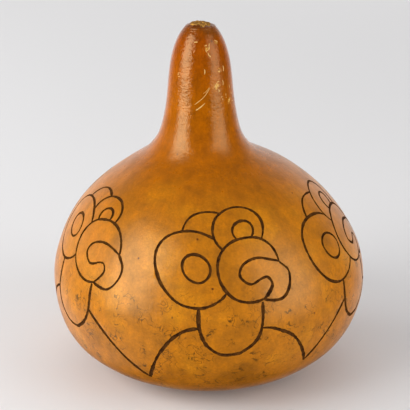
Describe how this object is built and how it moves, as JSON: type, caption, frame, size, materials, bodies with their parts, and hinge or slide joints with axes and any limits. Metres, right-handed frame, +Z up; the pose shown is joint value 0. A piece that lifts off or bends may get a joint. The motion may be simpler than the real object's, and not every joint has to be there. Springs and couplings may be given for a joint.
{
  "type": "dried bottle gourd",
  "caption": "Dried bottle gourd with a round belly and a narrow neck, varnished and incised with a line ornament, standing on its flattened underside.",
  "frame": {"origin": "middle of the underside, on the surface that the gourd stands on", "axes": "+Z up along the neck, +X to the right of the figure that faces -Y"},
  "size_m": [0.1552, 0.1528, 0.1746],
  "materials": {
    "varnished_rind": "satin varnish over an amber rind, glossier on the neck, with dark burnt lines"
  },
  "bodies": {
    "root": {"bottle_gourd": "varnished_rind"}
  },
  "joints": []
}
